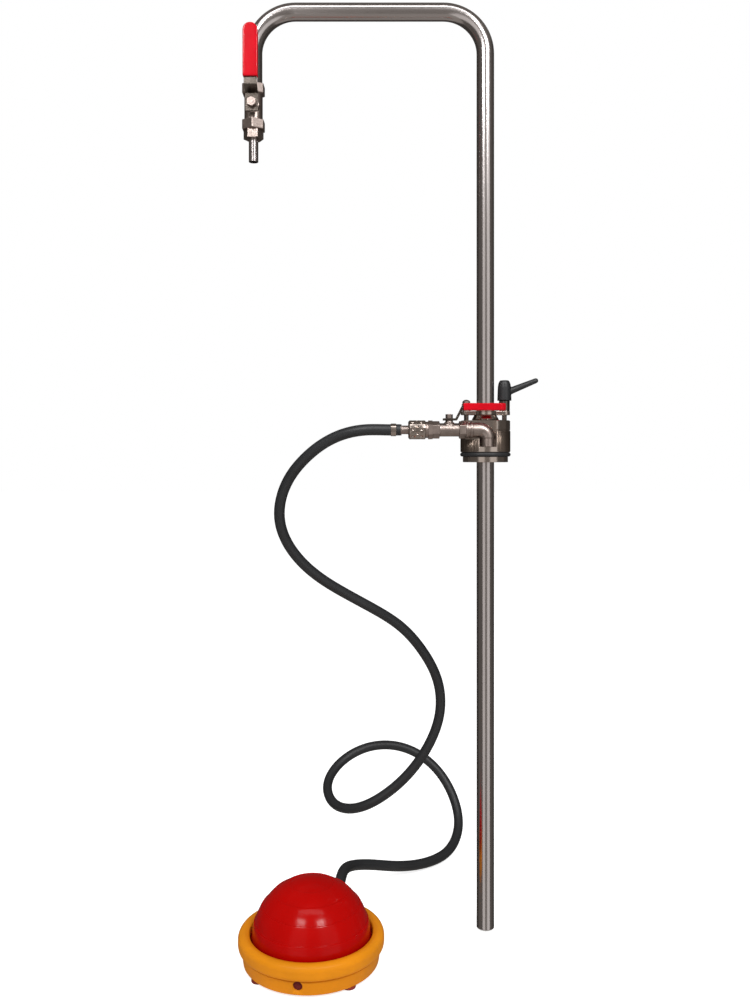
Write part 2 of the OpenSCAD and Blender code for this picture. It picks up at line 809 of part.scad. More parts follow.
// The port at the pump's rear: its turn about the pump, its climb, and how far it stands out
port_turn = 75;
port_climb = 25;
port_stand_out = 16.4;
port_reach = pump_r + port_stand_out;
port_height = 34;
port_tip = pump_pos + [port_reach * cos(port_turn), port_reach * sin(port_turn), port_height];
port_way = [cos(port_climb) * cos(port_turn), cos(port_climb) * sin(port_turn), sin(port_climb)];
hose_start = [coupler_x0 - tail_show, -branch_y, branch_z];
hose_points = concat([hose_start], hose_route, [port_tip]);

function unit(v) = v / norm(v);

// A smooth curve through the points, with the given directions at its two ends
function smooth_path(p, steps, first, last) =
    let (n = len(p), q = concat([p[1] - 2 * norm(p[1] - p[0]) * first], p,
        [p[n - 2] + 2 * norm(p[n - 1] - p[n - 2]) * last]))
    concat([for (i = [1 : n - 1]) for (k = [0 : steps - 1]) let (t = k / steps)
        (2 * q[i] + (q[i + 1] - q[i - 1]) * t
        + (2 * q[i - 1] - 5 * q[i] + 4 * q[i + 1] - q[i + 2]) * t * t
        + (3 * q[i] - q[i - 1] - 3 * q[i + 1] + q[i + 2]) * t * t * t) / 2], [p[n - 1]]);

// A side direction carried along the path, so that the rings don't twist
function sides_along(d, u, i = 0) =
    let (s = unit(u - (u * d[i]) * d[i]))
    i == len(d) - 1 ? [s] : concat([s], sides_along(d, s, i + 1));

// A closed round tube along a path, with square ends of the given directions
module swept_tube(path, r, sides, first, last) {
    n = len(path);
    way = [for (i = [0 : n - 1])
        i == 0 ? first : i == n - 1 ? last : unit(path[i + 1] - path[i - 1])];
    across = sides_along(way, [0, 0, 1]);
    points = [for (i = [0 : n - 1]) let (u = across[i], v = cross(way[i], u))
        for (k = [0 : sides - 1]) let (a = 360 * k / sides)
        path[i] + r * (cos(a) * u + sin(a) * v)];
    walls = [for (i = [0 : n - 2]) for (k = [0 : sides - 1])
        let (a = i * sides + k, b = i * sides + (k + 1) % sides)
        for (f = [[a, a + sides, b], [b, a + sides, b + sides]]) f];
    caps = [for (k = [1 : sides - 2]) for (f = [[0, k, k + 1],
        [(n - 1) * sides, (n - 1) * sides + k + 1, (n - 1) * sides + k]]) f];
    polyhedron(points, concat(walls, caps));
}

module hose() {
    color(black_rubber) swept_tube(smooth_path(hose_points, route_steps, [-1, 0, 0], -port_way),
        hose_d / 2, hose_sides, [-1, 0, 0], -port_way);
}

// Puts a piece on the port's axis, with +Z pointing out along it and zero at the hose's end
module at_port() {
    translate(port_tip) rotate([0, 0, port_turn]) rotate([0, 90 - port_climb, 0]) children();
}

port_d = 11;
port_len = 54;
port_nut = 15;
port_nut_len = 7;
port_nut_back = 15.5;
port_bore_d = 6;

module hose_port() {
    color(black_plastic) at_port() difference() {
        union() {
            translate([0, 0, -port_len]) cylinder(d = port_d, h = port_len);
            translate([0, 0, -port_nut_back]) hexagon(port_nut, port_nut_len);
        }
        translate([0, 0, -port_len - over]) cylinder(d = port_bore_d, h = port_len + 2 * over);
    }
}

// Heights and widths of the base's profile, from the floor upwards
skirt_r = pump_r - 6.5;
skirt_top_r = pump_r - 4;
skirt_wall = 3;
groove_z = 18.4;
groove_h = 3;
deck_t = 3;
rim_round = 6;
boss_r = 4.5;
boss_place_r = skirt_r - 12;
boss_angles = [5, 95, 185, 275];
feet_angles = [-142, -51, 38, 129];
feet_place_r = skirt_r - 7;
inlet_turn = -97;
inlet_z = 14;
plate_thick = 3;
base_screw_d = 3.5;
base_screw_len = 14;
base_head_d = 6.4;
base_head_h = 2;

module on_base(r, a) {
    translate(pump_pos) rotate([0, 0, a]) translate([r, 0, 0]) children();
}

module pump_base() {
    color(amber_plastic) difference() {
        union() {
            translate(pump_pos) rotate_extrude() polygon([[skirt_r - skirt_wall, foot_h],
                [skirt_r, foot_h], [skirt_top_r, groove_z], [skirt_top_r - edge, groove_z + edge],
                [skirt_top_r - edge, groove_z + 2 * edge], [pump_r - edge, groove_z + groove_h],
                [pump_r, groove_z + 2 * groove_h], [pump_r, rim_h - rim_round],
                [pump_r - rim_round * 0.25, rim_h - rim_round * 0.4],
                [pump_r - rim_round * 0.8, rim_h - rim_round * 0.04],
                [pump_r - rim_round * 1.4, rim_h], [dome_seat_r + edge, rim_h - rim_round * 0.35],
                [dome_seat_r, rim_h - rim_round], [dome_seat_r, deck_z], [0, deck_z],
                [0, deck_z - deck_t], [skirt_r - skirt_wall, deck_z - deck_t]]);
            for (a = boss_angles) on_base(boss_place_r, a) translate([0, 0, foot_h + plate_thick])
                cylinder(r = boss_r, h = deck_z - deck_t - foot_h - plate_thick + over);
        }
        at_port() translate([0, 0, -port_len - over])
            cylinder(d = port_d + 2 * fit, h = port_len + over);
        on_base(skirt_r - 2 * skirt_wall, inlet_turn) translate([0, 0, inlet_z]) along_x()
            cylinder(d = inlet_d, h = 4 * skirt_wall);
        for (a = boss_angles) on_base(boss_place_r, a)
            cylinder(d = base_screw_d + 2 * fit, h = foot_h + base_screw_len + fit);
        on_base(valve_place_r, inlet_valve_turn) valve_ports();
        on_base(valve_place_r, outlet_valve_turn) valve_ports();
    }
}

// The flap valves in the deck: where they stand, their discs, ports and pins
valve_inset = 45;
valve_place_r = pump_r - valve_inset;
inlet_valve_turn = 255;
outlet_valve_turn = 75;
flap_r = 11;
flap_t = 1.6;
flap_travel = 2;
port_hole_r = 2.2;
port_ring_r = 6.2;
pin_r = 2;
pin_head_r = 4.5;
pin_head_h = 1.6;

module valve_ports() {
    cylinder(r = pin_r + fit, h = deck_z + over);
    for (a = [0 : 60 : 300]) rotate([0, 0, a]) translate([port_ring_r, 0, 0])
        cylinder(r = port_hole_r, h = deck_z + over);
}

module base_plate() {
    color(amber_plastic) difference() {
        translate(pump_pos + [0, 0, foot_h])
            cylinder(r = skirt_r - skirt_wall - fit, h = plate_thick);
        for (a = boss_angles) on_base(boss_place_r, a) {
            cylinder(d = base_screw_d + 2 * fit, h = 2 * (foot_h + plate_thick));
            cylinder(d = base_head_d + 2 * fit, h = foot_h + base_head_h + fit);
        }
    }
}

// Depth of the intake's filter, and how far it sits back behind the skirt's face
filter_t = 3;
filter_back = 5;

module intake_filter() {
    color("#6d1812") on_base(skirt_top_r - filter_back - filter_t / 2, inlet_turn)
        translate([0, 0, inlet_z]) along_x() cylinder(d = inlet_d - 2 * fit, h = filter_t);
}

module base_screws() {
    color(dark_steel) for (a = boss_angles) on_base(boss_place_r, a) translate([0, 0, foot_h]) {
        cylinder(d = base_screw_d, h = base_screw_len);
        cylinder(d = base_head_d, h = base_head_h);
    }
}

module base_feet() {
    color("#8c2a1c") for (a = feet_angles) on_base(feet_place_r, a) cylinder(d = foot_d, h = foot_h);
}

// The cup under the outlet valve that leads the air to the port
cup_r = 14;
cup_wall = 2;
cup_z = foot_h + plate_thick + gap;

module outlet_cup() {
    h = deck_z - deck_t - cup_z;
    color(black_plastic) difference() {
        on_base(valve_place_r, outlet_valve_turn) translate([0, 0, cup_z]) difference() {
            cylinder(r = cup_r, h = h);
            translate([0, 0, cup_wall]) cylinder(r = cup_r - cup_wall, h = h);
        }
        at_port() translate([0, 0, -port_len - fit])
            cylinder(d = port_d + 2 * fit, h = port_len);
    }
}

module outlet_flap() {
    color(black_rubber) on_base(valve_place_r, outlet_valve_turn)
        translate([0, 0, deck_z - deck_t - flap_t - fit]) ring(flap_r, pin_r + fit, flap_t);
}

module outlet_pin() {
    low = deck_z - deck_t - flap_t - flap_travel - 2 * gap - pin_head_h;
    color(steel) on_base(valve_place_r, outlet_valve_turn) translate([0, 0, low]) {
        cylinder(r = pin_r, h = deck_z - low);
        cylinder(r = pin_head_r, h = pin_head_h);
    }
}

module inlet_flap() {
    color(black_rubber) on_base(valve_place_r, inlet_valve_turn)
        translate([0, 0, deck_z + fit]) ring(flap_r, pin_r + fit, flap_t);
}

module inlet_pin() {
    top = deck_z + flap_t + flap_travel + 2 * gap;
    color(steel) on_base(valve_place_r, inlet_valve_turn) {
        translate([0, 0, deck_z - deck_t]) cylinder(r = pin_r, h = top - deck_z + deck_t);
        translate([0, 0, top]) cylinder(r = pin_head_r, h = pin_head_h);
    }
}

// The dome: five moulded bands, each set back a little behind the one below
band_angles = [0, 16, 33, 50, 67];
band_step_share = 0.014;
crown_angle = 88;
dome_foot_h = 3;
dome_z = deck_z + dome_foot_h;
dome_arcs = 5;

function dome_point(a, share) = [dome_d / 2 * cos(a) * (1 - share),
    dome_z + (dome_h + dome_foot_h) * sin(a) * (1 - share)];

module dome() {
    n = len(band_angles);
    bands = [for (i = [0 : n - 1])
        let (a0 = band_angles[i], a1 = i == n - 1 ? crown_angle : band_angles[i + 1])
        for (k = [0 : dome_arcs]) dome_point(a0 + (a1 - a0) * k / dome_arcs, i * band_step_share)];
    inner_r = dome_d / 2 - dome_wall;
    inner_h = dome_h + dome_foot_h - 2 * dome_wall;
    inside = [for (k = [0 : 2 * dome_arcs]) let (a = crown_angle * (1 - k / (2 * dome_arcs)))
        [inner_r * cos(a), dome_z + inner_h * sin(a)]];
    color(red_plastic) translate(pump_pos) rotate_extrude() polygon(concat(
        [[inner_r, deck_z], [dome_seat_r - gap, deck_z], [dome_seat_r - gap, dome_z - edge]],
        bands, [[0, bands[len(bands) - 1][1]], [0, inside[0][1]]], inside));
}

spring_turns = 6;
spring_r = 20;
turn_points = 10;
seat_disc_r = 24;
seat_disc_t = 3.5;
seat_height_share = 0.815;
seat_disc_z = dome_z + seat_height_share * dome_h;
seat_boss_r = 10;
seat_boss_h = 3.4;
seat_lip_h = 4;

module return_spring() {
    low = deck_z + wire_d / 2 + fit;
    high = seat_disc_z - wire_d / 2 - fit;
    last = spring_turns * turn_points;
    path = [for (i = [0 : last]) let (a = 360 * i / turn_points)
        pump_pos + [spring_r * cos(a), spring_r * sin(a), low + (high - low) * i / last]];
    color(steel) swept_tube(path, wire_d / 2, 6, [0, 1, 0], [0, 1, 0]);
}

module spring_seat() {
    color(black_plastic) translate(pump_pos + [0, 0, seat_disc_z]) {
        cylinder(r = seat_disc_r, h = seat_disc_t);
        cylinder(r = seat_boss_r, h = seat_disc_t + seat_boss_h);
        translate([0, 0, -seat_lip_h])
            cylinder(r = spring_r * cos(180 / turn_points) - wire_d / 2 - gap, h = seat_lip_h + over);
    }
}

riser_tube();
outlet_valve_body();
outlet_valve_seats();
spout_adaptor();
spout();
outlet_ball();
outlet_stem();
outlet_lever();
outlet_grip();
outlet_lever_nut();
plug_body();
spigot_disc();
spigot_screws();
bung_seal();
gland_bush();
gland_packing();
gland_collar();
yoke_plate();
draw_rods();
stop_nut();
clamp_insert();
clamp_handle();
clamp_spring();
clamp_screw();
air_elbow();
air_union();
air_valve_body();
air_valve_seats();
air_ball();
air_stem();
air_lever();
air_grip();
air_lever_nut();
coupler_body();
coupler_sleeve();
coupler_spring();
hose_tail();
hose_clamp();
hose();
hose_port();
pump_base();
base_plate();
intake_filter();
base_screws();
base_feet();
outlet_cup();
outlet_flap();
outlet_pin();
inlet_flap();
inlet_pin();
dome();
return_spring();
spring_seat();
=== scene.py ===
"""Foot-operated drum pump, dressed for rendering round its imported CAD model.

The file is laid out as a Blender add-on. Run as a script it builds the stage and every piece."""

import json
import math

import bmesh
import bpy
from bpy.props import FloatProperty, FloatVectorProperty, IntProperty, PointerProperty
from mathutils import Matrix, Vector

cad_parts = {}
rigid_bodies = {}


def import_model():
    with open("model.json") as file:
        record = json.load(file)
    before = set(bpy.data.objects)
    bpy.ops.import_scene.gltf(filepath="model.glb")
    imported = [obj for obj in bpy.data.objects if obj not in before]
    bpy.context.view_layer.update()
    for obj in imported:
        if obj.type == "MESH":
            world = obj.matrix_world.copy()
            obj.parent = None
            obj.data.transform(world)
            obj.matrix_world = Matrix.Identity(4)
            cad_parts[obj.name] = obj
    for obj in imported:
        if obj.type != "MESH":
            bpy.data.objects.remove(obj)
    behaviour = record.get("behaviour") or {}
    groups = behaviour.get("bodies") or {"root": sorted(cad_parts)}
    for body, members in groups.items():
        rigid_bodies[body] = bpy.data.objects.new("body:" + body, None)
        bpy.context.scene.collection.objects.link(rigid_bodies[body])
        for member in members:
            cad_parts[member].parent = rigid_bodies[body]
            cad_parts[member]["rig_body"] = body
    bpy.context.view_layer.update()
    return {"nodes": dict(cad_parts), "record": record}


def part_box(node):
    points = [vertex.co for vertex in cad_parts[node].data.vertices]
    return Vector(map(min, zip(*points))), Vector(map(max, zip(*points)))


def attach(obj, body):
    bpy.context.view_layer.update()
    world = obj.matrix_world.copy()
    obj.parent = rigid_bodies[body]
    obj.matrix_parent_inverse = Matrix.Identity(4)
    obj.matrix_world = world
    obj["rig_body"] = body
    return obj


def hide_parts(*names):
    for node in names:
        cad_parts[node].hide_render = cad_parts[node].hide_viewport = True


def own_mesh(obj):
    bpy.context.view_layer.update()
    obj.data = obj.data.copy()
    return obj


bl_info = {
    "name": "Foot Drum Pump",
    "version": (1, 0, 0),
    "blender": (4, 5, 0),
    "location": "View3D > Sidebar > Drum Pump",
    "description": "Builds the looks of a foot-operated drum pump",
    "category": "Add Mesh",
}

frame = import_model()
slot_of = {row["node"]: row["material_slot"] for row in frame["record"]["subparts"]}


def linear(code):
    """The linear colour of an sRGB hex code."""
    parts = [int(code[i:i + 2], 16) / 255 for i in (1, 3, 5)]
    return tuple(c / 12.92 if c <= 0.04045 else ((c + 0.055) / 1.055) ** 2.4 for c in parts)


def colour(label, code):
    """A colour that a user may change, from its hex code."""
    return FloatVectorProperty(name=label, description=f"Colour of the {label.lower()}",
                               subtype="COLOR", size=3, min=0.0, max=1.0, default=linear(code))


def length(label, value, low, high):
    """A size in metres that a user may change."""
    return FloatProperty(name=label, description=f"{label} in metres", subtype="DISTANCE",
                         unit="LENGTH", default=value, min=low, max=high, precision=5)


class PumpColours(bpy.types.PropertyGroup):
    """Colours of the pump's finishes"""

    tube: colour("Riser tube", "#cdc6c5")
    cast: colour("Cast fittings", "#b8a9a2")
    turned: colour("Turned steel", "#cbbeb5")
    vinyl: colour("Lever grips", "#cc0c1e")
    dome: colour("Foot dome", "#b40604")
    base: colour("Pump base", "#e88f12")
    black: colour("Black plastic", "#232426")
    rubber: colour("Hose rubber", "#28292b")


class PumpSizes(bpy.types.PropertyGroup):
    """Sizes of the pump's surface details"""

    hose: length("Hose diameter", 0.014, 0.008, 0.015)
    tube: length("Riser diameter", 0.022, 0.02, 0.024)
    wall: length("Riser wall", 0.0015, 0.001, 0.002)
    edge: length("Rounding of turned edges", 0.0004, 0.0001, 0.001)
    flutes: IntProperty(name="Flutes", description="Flutes round the plug", default=88,
                        min=40, max=140)
    flute_depth: length("Flute depth", 0.00045, 0.0001, 0.001)
    spring_turns: IntProperty(name="Spring turns", description="Turns of the return spring",
                              default=6, min=4, max=8)


# Tools that the pieces share

def add(tree, kind, inputs=None, **settings):
    """Adds a shader node, sets it and fills its sockets with values or links."""
    made = tree.nodes.new("ShaderNode" + kind)
    for key, value in settings.items():
        setattr(made, key, value)
    for key, value in (inputs or {}).items():
        if isinstance(value, bpy.types.NodeSocket):
            tree.links.new(value, made.inputs[key])
        else:
            made.inputs[key].default_value = value
    return made


def finish(name, tint, rough, metallic=0.0, cloud=(30.0, 0.12), grain=(900.0, 0.1), stretch=None,
           uv=False, coat=0.0, spread=0.08, painted_glints=0.0, specular=0.5):
    """A surface finish: a tint with soft clouds, a varied roughness, a fine grain and, where asked,
    painted glints.
    """
    made = bpy.data.materials.new(name)
    made.use_nodes = True
    tree = made.node_tree
    shader = tree.nodes["Principled BSDF"]
    place = add(tree, "TexCoord").outputs["UV" if uv else "Object"]
    soft = add(tree, "TexNoise", {"Vector": place, "Scale": cloud[0], "Detail": 4.0})
    dark = tuple(c * (1 - cloud[1]) for c in tint) + (1.0,)
    pale = tuple(min(1.0, c * (1 + cloud[1] * 0.6)) for c in tint) + (1.0,)
    ramp = add(tree, "MapRange", {"Value": soft.outputs["Fac"], "From Min": 0.3, "From Max": 0.7})
    mixed = add(tree, "Mix", {0: ramp.outputs["Result"], 6: dark, 7: pale}, data_type="RGBA")
    shade = mixed.outputs[2]
    # Painted glints: faint specks of a lighter copy of the tint, put in the colour as small
    # reflections
    if painted_glints:
        glint_noise = add(tree, "TexNoise", {"Vector": place, "Scale": 420.0, "Detail": 2.0})
        spots = add(tree, "MapRange", {"Value": glint_noise.outputs["Fac"], "From Min": 0.66,
                                       "From Max": 0.74, "To Max": painted_glints})
        glint_tint = tuple(min(1.0, c * 1.5 + 0.03) for c in tint) + (1.0,)
        shade = add(tree, "Mix", {0: spots.outputs["Result"], 6: shade, 7: glint_tint},
                    data_type="RGBA").outputs[2]
    tree.links.new(shade, shader.inputs["Base Color"])
    where = place
    if stretch:
        where = add(tree, "Mapping", {"Vector": place, "Scale": stretch}).outputs["Vector"]
    fine = add(tree, "TexNoise", {"Vector": where, "Scale": grain[0], "Detail": 3.0})
    worn = add(tree, "MapRange", {"Value": fine.outputs["Fac"], "To Min": max(0.02, rough - spread),
                                  "To Max": rough + spread})
    bump = add(tree, "Bump", {"Height": fine.outputs["Fac"], "Strength": grain[1],
                              "Distance": 0.0004})
    tree.links.new(worn.outputs["Result"], shader.inputs["Roughness"])
    tree.links.new(bump.outputs["Normal"], shader.inputs["Normal"])
    shader.inputs["Metallic"].default_value = metallic
    shader.inputs["Specular IOR Level"].default_value = specular
    shader.inputs["Coat Weight"].default_value = coat
    shader.inputs["Coat Roughness"].default_value = 0.12
    made.diffuse_color = tuple(tint) + (1.0,)
    return made


def finishes():
    """Every finish of the pump by the record's slot, made once."""
    c = bpy.context.scene.pump_colours
    recipes = {
        # Polished stainless tube with faint polishing lines
        "stainless_tube": lambda n: finish(n, c.tube, 0.2, 1.0, (14.0, 0.08), (240.0, 0.05),
                                           stretch=(1.0, 1.0, 0.05)),
        # Cast and tumbled fittings with a grained skin
        "valve_metal": lambda n: finish(n, c.cast, 0.34, 1.0, (90.0, 0.16), (900.0, 0.3)),
        # Turned stainless steel with fine tool lines round it
        "turned_steel": lambda n: finish(n, c.turned, 0.18, 1.0, (60.0, 0.12), (500.0, 0.02),
                                         stretch=(0.08, 0.08, 4.0), spread=0.05),
        # Darker plain steel of plates and screws
        "dark_steel": lambda n: finish(n, linear("#7a716a"), 0.2, 1.0, (70.0, 0.25),
                                       (700.0, 0.05)),
        # Drawn spring wire, a little dull
        "spring_steel": lambda n: finish(n, linear("#8d8986"), 0.3, 1.0),
        # Ground and chromed valve balls, nearly a mirror
        "ball_chrome": lambda n: finish(n, linear("#dedede"), 0.08, 1.0, spread=0.02),
        # Waxy white PTFE seats
        "white_ptfe": lambda n: finish(n, linear("#e9e7e0"), 0.5),
        # Dipped vinyl grips, soft and a little glossy
        "red_vinyl": lambda n: finish(n, c.vinyl, 0.15, cloud=(60.0, 0.12), grain=(700.0, 0.03),
                                      spread=0.03, specular=0.16),
        # Glossy rubbery dome, with faint painted glints: lighter specks of its own red
        "red_plastic": lambda n: finish(n, c.dome, 0.17, cloud=(16.0, 0.1), grain=(260.0, 0.05),
                                        spread=0.04, painted_glints=0.06, specular=0.12),
        # Moulded orange-yellow plastic
        "amber_plastic": lambda n: finish(n, c.base, 0.4, cloud=(18.0, 0.14), grain=(500.0, 0.06),
                                          specular=0.12),
        # Grained black plastic of the handle and the port
        "black_plastic": lambda n: finish(n, c.black, 0.42, cloud=(80.0, 0.2),
                                          grain=(1500.0, 0.3)),
        # Matt nitrile rubber of the seal and the flaps
        "black_rubber": lambda n: finish(n, c.rubber, 0.5, cloud=(70.0, 0.2), grain=(900.0, 0.2)),
        # Dull red-brown rubber feet
        "foot_rubber": lambda n: finish(n, linear("#8c2a1c"), 0.6, cloud=(70.0, 0.25)),
        # Open foam, rough enough to look nearly black in its hole
        "filter_foam": lambda n: finish(n, linear("#6d1812"), 0.9, cloud=(700.0, 0.5),
                                        grain=(900.0, 1.0)),
    }
    made = bpy.data.materials
    return {slot: made.get("finish_" + slot) or make("finish_" + slot)
            for slot, make in recipes.items()}


def piece(name, bm, sharp=35.0):
    """Turns a bmesh into an object with smooth faces and sharp creases."""
    mesh = bpy.data.meshes.new(name)
    bm.to_mesh(mesh)
    bm.free()
    mesh.shade_smooth()
    mesh.set_sharp_from_angle(angle=math.radians(sharp))
    made = bpy.data.objects.new(name, mesh)
    bpy.context.scene.collection.objects.link(made)
    return made


def stand_for(made, *nodes, material=None):
    """Puts a piece in its nodes' place, on their body and in their finish."""
    slot = slot_of[nodes[0]]
    made.data.materials.clear()
    made.data.materials.append(material or finishes()[slot])
    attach(made, frame["nodes"][nodes[0]]["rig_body"])
    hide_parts(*nodes)
    return made


def paint(*nodes):
    """Gives CAD nodes whose shape stays the finish of their slot."""
    for name in nodes:
        shown = frame["nodes"][name]
        shown.data.materials.clear()
        shown.data.materials.append(finishes()[slot_of[name]])


def copy_of(node):
    """A merged copy of a CAD node's mesh, with its flat areas cleared of extra edges."""
    bm = bmesh.new()
    bm.from_mesh(frame["nodes"][node].data)
    bmesh.ops.remove_doubles(bm, verts=bm.verts, dist=2e-6)
    bmesh.ops.dissolve_limit(bm, angle_limit=math.radians(0.5), verts=bm.verts, edges=bm.edges)
    return bm


def eased(node, width=None, segments=3):
    """A machined piece: the CAD form with its edges broken."""
    sizes = bpy.context.scene.pump_sizes
    made = piece(node + "_piece", copy_of(node), 24.0)
    bevel = made.modifiers.new("edges", "BEVEL")
    bevel.width = width or sizes.edge
    bevel.segments = segments
    bevel.limit_method = "ANGLE"
    bevel.angle_limit = math.radians(28)
    made.modifiers.new("normals", "WEIGHTED_NORMAL").keep_sharp = True
    return stand_for(made, node)


def cast(node, grid, rounds):
    """A cast or dipped piece: the CAD form with its corners flowing into each other."""
    bm = copy_of(node)
    bmesh.ops.triangulate(bm, faces=bm.faces)
    made = piece(node + "_piece", bm, 180.0)
    skin = made.modifiers.new("skin", "REMESH")
    skin.mode = "VOXEL"
    skin.voxel_size = grid
    skin.use_smooth_shade = True
    flow = made.modifiers.new("flow", "SMOOTH")
    flow.factor = 0.5
    flow.iterations = rounds
    return stand_for(made, node)


def turned(name, profile, place=Matrix.Identity(4), rounding=(), steps=96, sharp=35.0):
    """Spins a closed profile of (radius, height) points, some of its corners rounded."""
    bm = bmesh.new()
    corners = [bm.verts.new((r, 0.0, z)) for r, z in profile]
    bm.faces.new(corners)
    groups = [(radius, [corners[i] for i in picked]) for radius, picked in rounding]
    for radius, picked in groups:
        bmesh.ops.bevel(bm, geom=picked, offset=radius, offset_type="OFFSET", segments=4,
                        profile=0.5, affect="VERTICES", material=-1)
    bmesh.ops.delete(bm, geom=bm.faces[:], context="FACES_ONLY")
    bmesh.ops.spin(bm, geom=bm.verts[:] + bm.edges[:], axis=(0, 0, 1), cent=(0, 0, 0),
                   dvec=(0, 0, 0), angle=2 * math.pi, steps=steps, use_merge=True)
    bmesh.ops.remove_doubles(bm, verts=bm.verts, dist=1e-6)
    bmesh.ops.recalc_face_normals(bm, faces=bm.faces)
    bmesh.ops.transform(bm, matrix=place, verts=bm.verts)
    return piece(name, bm, sharp)


def headings(path):
    """The direction of a path at each of its points."""
    count = len(path)
    return [(path[min(i + 1, count - 1)] - path[max(i - 1, 0)]).normalized() for i in range(count)]


def swept(name, path, radius, sides, capped=True, first=None, last=None):
    """A round tube along a path, with its length and its turn kept as a UV map."""
    ways = headings(path)
    ways[0] = first or ways[0]
    ways[-1] = last or ways[-1]
    bm = bmesh.new()
    along = bm.verts.layers.float.new("along")
    around = bm.verts.layers.float.new("around")
    turn = ways[0].to_track_quat("Z", "Y").to_matrix().to_4x4()
    stand = Matrix.Translation(path[0]) @ turn
    ring = bmesh.ops.create_circle(bm, segments=sides, radius=radius, matrix=stand)["verts"]
    for i, vert in enumerate(ring):
        vert[around] = i / sides
    bm.edges.ensure_lookup_table()
    edges = bm.edges[:]
    start = edges[:]
    run = 0.0
    for i in range(1, len(path)):
        run += (path[i] - path[i - 1]).length
        turn = ways[i - 1].rotation_difference(ways[i]).to_matrix().to_4x4() @ turn
        after = Matrix.Translation(path[i]) @ turn
        grown = bmesh.ops.extrude_edge_only(bm, edges=edges)["geom"]
        ring = [g for g in grown if isinstance(g, bmesh.types.BMVert)]
        edges = [g for g in grown if isinstance(g, bmesh.types.BMEdge)
                 and g.verts[0] in ring and g.verts[1] in ring]
        bmesh.ops.transform(bm, matrix=after @ stand.inverted(), verts=ring)
        for vert in ring:
            vert[along] = run
        stand = after
    if capped:
        bmesh.ops.edgenet_fill(bm, edges=start)
        bmesh.ops.edgenet_fill(bm, edges=edges)
    bmesh.ops.recalc_face_normals(bm, faces=bm.faces)
    chart = bm.loops.layers.uv.new("length")
    for face in bm.faces:
        turns = [loop.vert[around] for loop in face.loops]
        wrap = max(turns) - min(turns) > 0.5
        for loop, share in zip(face.loops, turns):
            share += 1.0 if wrap and share < 0.5 else 0.0
            loop[chart].uv = (loop.vert[along], share)
    return piece(name, bm, 50.0)


def smooth_line(points, first, last, steps):
    """A curve of even bend through the points, with the given end directions."""
    count = len(points)
    knots = [0.0]
    for a, b in zip(points, points[1:]):
        knots.append(knots[-1] + (b - a).length)
    h = [knots[i + 1] - knots[i] for i in range(count - 1)]
    slope = [first] + [Vector((0, 0, 0))] * (count - 2) + [last]
    low, mid, high, right = [0.0] * count, [1.0] * count, [0.0] * count, list(slope)
    for i in range(1, count - 1):
        low[i], mid[i], high[i] = h[i], 2 * (h[i - 1] + h[i]), h[i - 1]
        right[i] = 3 * (h[i] / h[i - 1] * (points[i] - points[i - 1])
                        + h[i - 1] / h[i] * (points[i + 1] - points[i]))
    for i in range(1, count):
        factor = low[i] / mid[i - 1]
        mid[i] -= factor * high[i - 1]
        right[i] = right[i] - factor * right[i - 1]
    slope[-1] = right[-1] / mid[-1]
    for i in range(count - 2, -1, -1):
        slope[i] = (right[i] - high[i] * slope[i + 1]) / mid[i]
    line = []
    for i in range(count - 1):
        for k in range(steps):
            t = k / steps
            line.append((2 * t**3 - 3 * t**2 + 1) * points[i]
                        + (t**3 - 2 * t**2 + t) * h[i] * slope[i]
                        + (3 * t**2 - 2 * t**3) * points[i + 1]
                        + (t**3 - t**2) * h[i] * slope[i + 1])
    return line + [points[-1]]


def carved(made, cutter):
    """Cuts one piece by another, which is then removed."""
    cut = made.modifiers.new("cut", "BOOLEAN")
    cut.operation = "DIFFERENCE"
    cut.solver = "EXACT"
    cut.object = cutter
    graph = bpy.context.evaluated_depsgraph_get()
    shape = bpy.data.meshes.new_from_object(made.evaluated_get(graph))
    made.modifiers.remove(cut)
    made.data = shape
    bpy.data.objects.remove(cutter)
    return made


# The stage

card_reach, card_top = 3.0, 2.6


def lamp(name, place, aim, width, height, power):
    """An area lamp aimed at a point."""
    data = bpy.data.lights.new(name, "AREA")
    data.shape = "RECTANGLE"
    data.size = width
    data.size_y = height
    data.energy = power
    made = bpy.data.objects.new(name, data)
    made.location = place
    made.rotation_euler = (Vector(aim) - Vector(place)).to_track_quat("-Z", "Y").to_euler()
    bpy.context.scene.collection.objects.link(made)


def seen_white(tree, plain):
    """Shows plain white to the eye and to reflections, and the given shader to all else."""
    path = add(tree, "LightPath")
    either = add(tree, "Math", {0: path.outputs["Is Camera Ray"], 1: path.outputs["Is Glossy Ray"]},
                 operation="MAXIMUM")
    any_ray = add(tree, "Math", {0: either.outputs[0], 1: path.outputs["Is Transmission Ray"]},
                  operation="MAXIMUM")
    return add(tree, "MixShader", {0: any_ray.outputs[0], 1: plain})


def reflector(made, shade):
    """Makes a sheet a warm grey card, browner where dark, that only reflections see."""
    made.visible_camera = False
    made.visible_diffuse = False
    made.visible_shadow = False
    paint_of = bpy.data.materials.new(made.name + "_grey")
    paint_of.use_nodes = True
    tree = paint_of.node_tree
    tree.nodes.clear()
    warmth = 0.1 * (1 - min(1.0, shade))
    tint = (shade * (1 + warmth), shade, shade * (1 - warmth), 1)
    glow = add(tree, "Emission", {"Color": tint, "Strength": 1.0})
    add(tree, "OutputMaterial", {"Surface": glow.outputs[0]})
    made.data.materials.append(paint_of)
    return made


def card(start, end, shade):
    """A tall curved card between two bearings, in degrees from the camera's side."""
    bm = bmesh.new()
    turn = math.radians(start)
    across, ahead = card_reach * math.sin(turn), -card_reach * math.cos(turn)
    foot = bm.verts.new((across, ahead, -card_top))
    head = bm.verts.new((across, ahead, card_top))
    edge = bm.edges.new((foot, head))
    bmesh.ops.spin(bm, geom=[foot, head, edge], axis=(0, 0, 1), cent=(0, 0, 0), dvec=(0, 0, 0),
                   angle=math.radians(end - start), steps=12, use_merge=False)
    return reflector(piece(f"card_{start + 180}", bm), shade)


